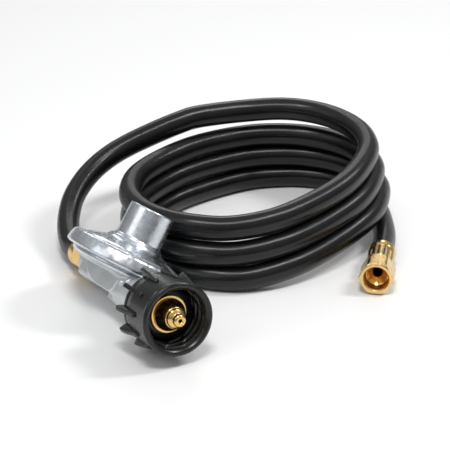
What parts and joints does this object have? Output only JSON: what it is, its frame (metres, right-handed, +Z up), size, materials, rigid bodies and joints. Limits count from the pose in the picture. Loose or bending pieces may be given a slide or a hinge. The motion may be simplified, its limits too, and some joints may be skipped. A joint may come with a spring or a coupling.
{
  "type": "gas regulator hose",
  "caption": "Low pressure gas regulator with a ribbed black hand nut, a brass nipple and a coiled rubber hose ending in a brass swivel flare nut.",
  "frame": {"origin": "on the plane that the assembly lies on, under the middle of the box round the regulator with its hand nut and outlet adapter", "axes": "+Z up, -Y the way the inlet points over the plane, +X towards the coiled hose and the lean of the spring tower"},
  "size_m": [0.2454, 0.2264, 0.0645],
  "materials": {
    "cast_zinc": "satin cast zinc alloy",
    "bright_zinc": "polished zinc alloy",
    "plain_zinc": "plain zinc alloy",
    "spring_steel": "drawn steel",
    "brass": "turned brass",
    "nitrile": "moulded rubber",
    "black_nylon": "moulded black plastic with a soft sheen",
    "acetal": "moulded plastic",
    "hose_rubber": "black rubber cover with fine ribs"
  },
  "bodies": {
    "housing": {"body_casting": "cast_zinc", "bonnet": "bright_zinc", "vent_screen": "spring_steel", "diaphragm": "nitrile", "main_spring": "spring_steel", "lever_pin": "spring_steel", "inlet_orifice": "brass", "inlet_nipple": "brass", "nipple_tip": "brass", "retaining_ring": "brass", "check_spring": "spring_steel", "outlet_adapter": "brass", "hose": "hose_rubber", "hose_ferrule": "brass", "flare_stem": "brass"},
    "diaphragm_centre": {"diaphragm_plate": "spring_steel", "diaphragm_stem": "plain_zinc"},
    "lever_arm": {"lever": "spring_steel"},
    "valve": {"valve_holder": "plain_zinc", "valve_disc": "nitrile"},
    "adjuster": {"adjusting_screw": "acetal"},
    "cap": {"tower_cap": "plain_zinc"},
    "hand_nut": {"qcc_nut": "black_nylon", "thermal_bushing": "black_nylon"},
    "check_valve": {"check_poppet": "acetal"},
    "swivel_nut": {"flare_nut": "brass"}
  },
  "joints": [
    {"name": "hand_nut_spin", "type": "hinge", "parent": "housing", "child": "hand_nut", "pos_m": [-0.00772, -0.0556, 0.0264], "axis": [0, -0.9893, 0.1461], "continuous": true},
    {"name": "swivel_nut_spin", "type": "hinge", "parent": "housing", "child": "swivel_nut", "pos_m": [0.14217, -0.03915, 0.01031], "axis": [-0.6068, -0.7936, 0.0454], "continuous": true},
    {"name": "tower_cap_spin", "type": "hinge", "parent": "housing", "child": "cap", "pos_m": [0.01745, 0.01694, 0.05217], "axis": [0.5721, 0.1198, 0.8114], "continuous": true},
    {"name": "adjuster_turn", "type": "hinge", "parent": "housing", "child": "adjuster", "pos_m": [0.01459, 0.01634, 0.04811], "axis": [0.5721, 0.1198, 0.8114], "range_deg": [-180, 180]},
    {"name": "diaphragm_slide", "type": "slide", "parent": "housing", "child": "diaphragm_centre", "axis": [0.5721, 0.1198, 0.8114], "range_m": [0, 0.0024], "deforming": ["main_spring", "diaphragm"]},
    {"name": "lever_turn", "type": "hinge", "parent": "housing", "child": "lever_arm", "pos_m": [-0.01207, -0.00309, 0.01235], "axis": [0.8202, -0.0836, -0.566], "range_deg": [0, 9.8]},
    {"name": "valve_slide", "type": "slide", "parent": "housing", "child": "valve", "axis": [0, -0.9893, 0.1461], "range_m": [0, 0.0008]},
    {"name": "check_slide", "type": "slide", "parent": "housing", "child": "check_valve", "axis": [0, 0.9893, -0.1461], "range_m": [0, 0.0015], "stiffness_N_per_m": 60, "springref_m": -0.0005, "deforming": ["check_spring"]}
  ],
  "couplings": [
    {"joint": "lever_turn", "follows": "diaphragm_slide", "rad_per_m": 71},
    {"joint": "valve_slide", "follows": "diaphragm_slide", "ratio": 0.3}
  ]
}
